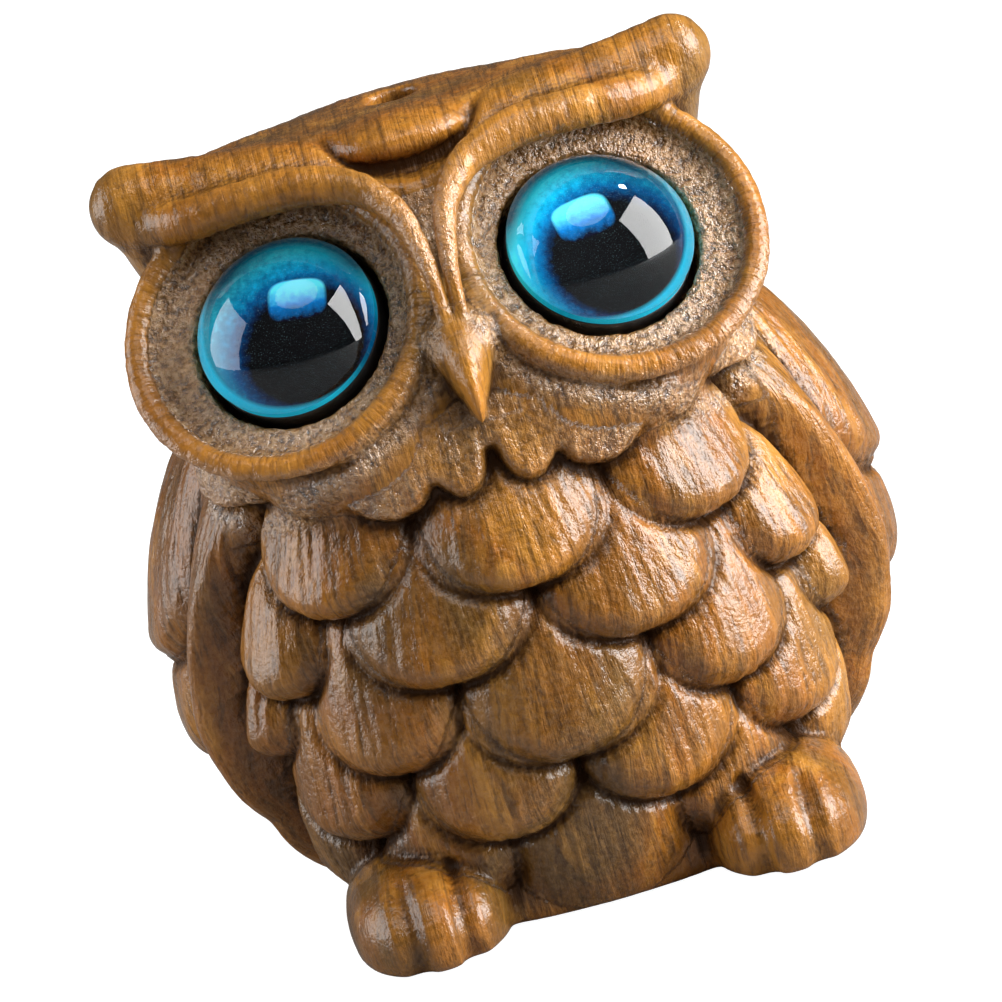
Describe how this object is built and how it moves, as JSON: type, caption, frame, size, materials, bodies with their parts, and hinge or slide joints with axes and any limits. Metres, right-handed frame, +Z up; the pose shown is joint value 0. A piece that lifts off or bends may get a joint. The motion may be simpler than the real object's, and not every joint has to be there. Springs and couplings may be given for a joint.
{
  "type": "owl figurine",
  "caption": "Round owl carved from one block of lacquered wood, with scalloped breast feathers, folded wings, flat top between ear tufts and large blue domed glass eyes",
  "frame": {"origin": "the middle of the owl's flat underside, on the surface it stands on", "axes": "+Z is up, the owl faces -Y and its own left side is +X"},
  "size_m": [0.0492, 0.0461, 0.0527],
  "materials": {
    "carved_wood": "polished and lacquered, open streaked grain",
    "clear_glass": "fire polished dome",
    "blue_foil": "metallic blue print with a black pupil",
    "black_backing": "glossy black",
    "adhesive": "cured clear adhesive, satin"
  },
  "bodies": {
    "root": {"carved_body": "carved_wood", "eye_dome_left": "clear_glass", "eye_dome_right": "clear_glass", "iris_disc_left": "blue_foil", "iris_disc_right": "blue_foil", "eye_base_left": "black_backing", "eye_base_right": "black_backing", "glue_bed_left": "adhesive", "glue_bed_right": "adhesive"}
  },
  "joints": []
}
